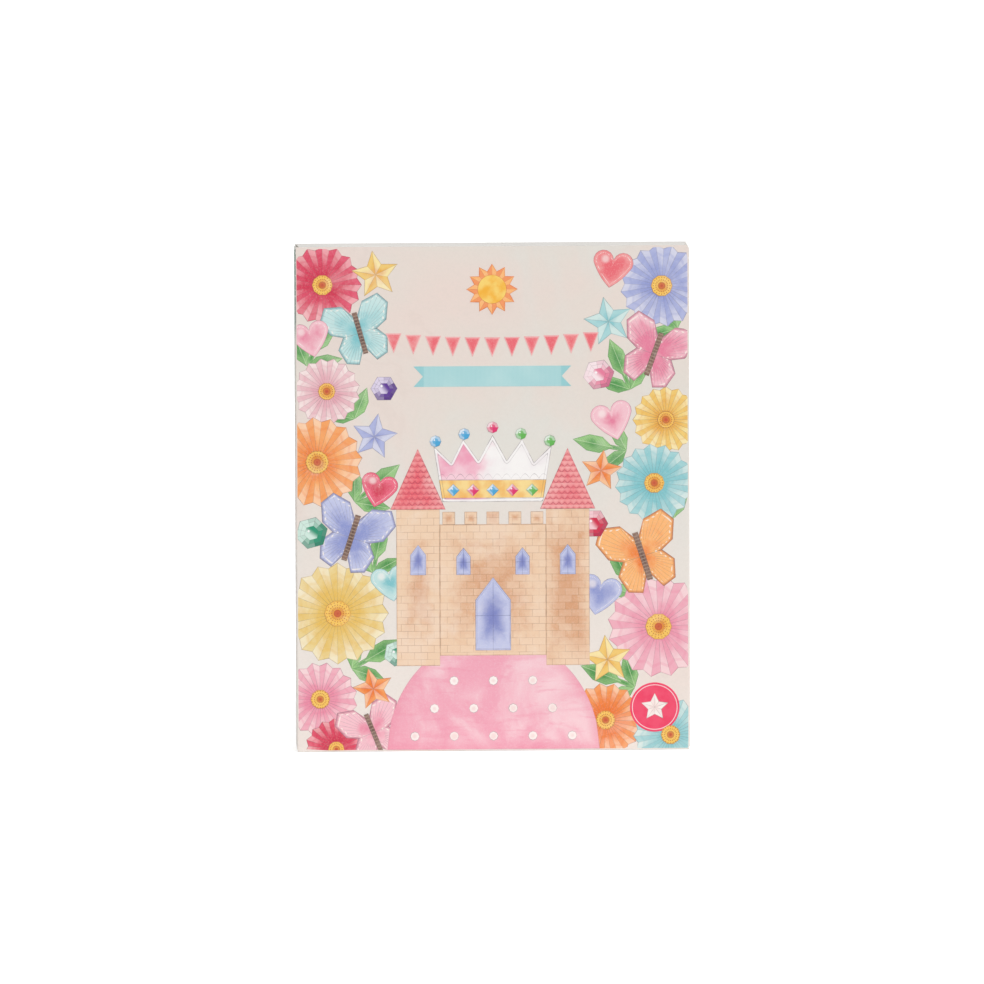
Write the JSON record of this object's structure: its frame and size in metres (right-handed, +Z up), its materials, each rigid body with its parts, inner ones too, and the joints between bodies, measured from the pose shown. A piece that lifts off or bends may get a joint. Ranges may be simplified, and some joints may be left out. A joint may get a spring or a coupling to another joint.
{
  "type": "craft kit box",
  "caption": "Slim upright card box of a craft kit, with a tuck-in top flap, a printed front, press-out crown sheets, stick-on gems and double-ended pencils inside.",
  "frame": {"origin": "middle of the footprint, on the surface that the box stands on", "axes": "+Z up along the height, +X to the right across the printed front seen from the front, +Y from the printed front towards the back"},
  "size_m": [0.216, 0.025, 0.278],
  "materials": {
    "card": "satin",
    "sheet_card": "matte",
    "backing_paper": "satin",
    "gem_pink": "gloss",
    "gem_blue": "gloss",
    "gem_green": "gloss",
    "lead": "matte",
    "ink_coral": "satin",
    "ink_aqua": "satin",
    "ink_orange": "satin",
    "ink_white": "satin",
    "ink_periwinkle": "satin",
    "ink_peach": "satin",
    "ink_rose": "satin",
    "ink_crimson": "satin",
    "ink_blush": "satin",
    "ink_cream": "satin",
    "ink_yellow": "satin",
    "ink_leaf": "satin",
    "ink_sea": "satin",
    "ink_violet": "satin",
    "ink_red": "satin",
    "ink_brown": "satin",
    "ink_middle": "satin",
    "ink_stone": "satin",
    "pencil_paint_1": "gloss",
    "pencil_paint_2": "gloss",
    "pencil_paint_3": "gloss",
    "pencil_paint_4": "gloss",
    "pencil_paint_5": "gloss",
    "pencil_paint_6": "gloss"
  },
  "bodies": {
    "box": {"carton": "card", "crown_sheet_1": "sheet_card", "crown_sheet_2": "sheet_card", "crown_sheet_3": "sheet_card", "gem_backing": "backing_paper", "gems_hexagon": "gem_green", "gems_round": "gem_pink", "gems_square": "gem_blue", "pencil_barrel_1": "pencil_paint_1", "pencil_barrel_2": "pencil_paint_2", "pencil_barrel_3": "pencil_paint_3", "pencil_barrel_4": "pencil_paint_4", "pencil_barrel_5": "pencil_paint_5", "pencil_barrel_6": "pencil_paint_6", "pencil_leads": "lead", "print_aqua": "ink_aqua", "print_blush": "ink_blush", "print_bodies": "ink_brown", "print_coral": "ink_coral", "print_cream": "ink_cream", "print_crimson": "ink_crimson", "print_dots": "ink_white", "print_leaf": "ink_leaf", "print_middles": "ink_middle", "print_orange": "ink_orange", "print_peach": "ink_peach", "print_periwinkle": "ink_periwinkle", "print_rose": "ink_rose", "print_sea": "ink_sea", "print_spot": "ink_red", "print_stones": "ink_stone", "print_violet": "ink_violet", "print_white": "ink_white", "print_yellow": "ink_yellow"},
    "flap": {"top_flap": "card"}
  },
  "joints": [
    {"name": "top_flap_hinge", "type": "hinge", "parent": "box", "child": "flap", "pos_m": [0, 0.0125, 0.278], "axis": [-1, 0, 0], "range_deg": [0, 180]}
  ]
}
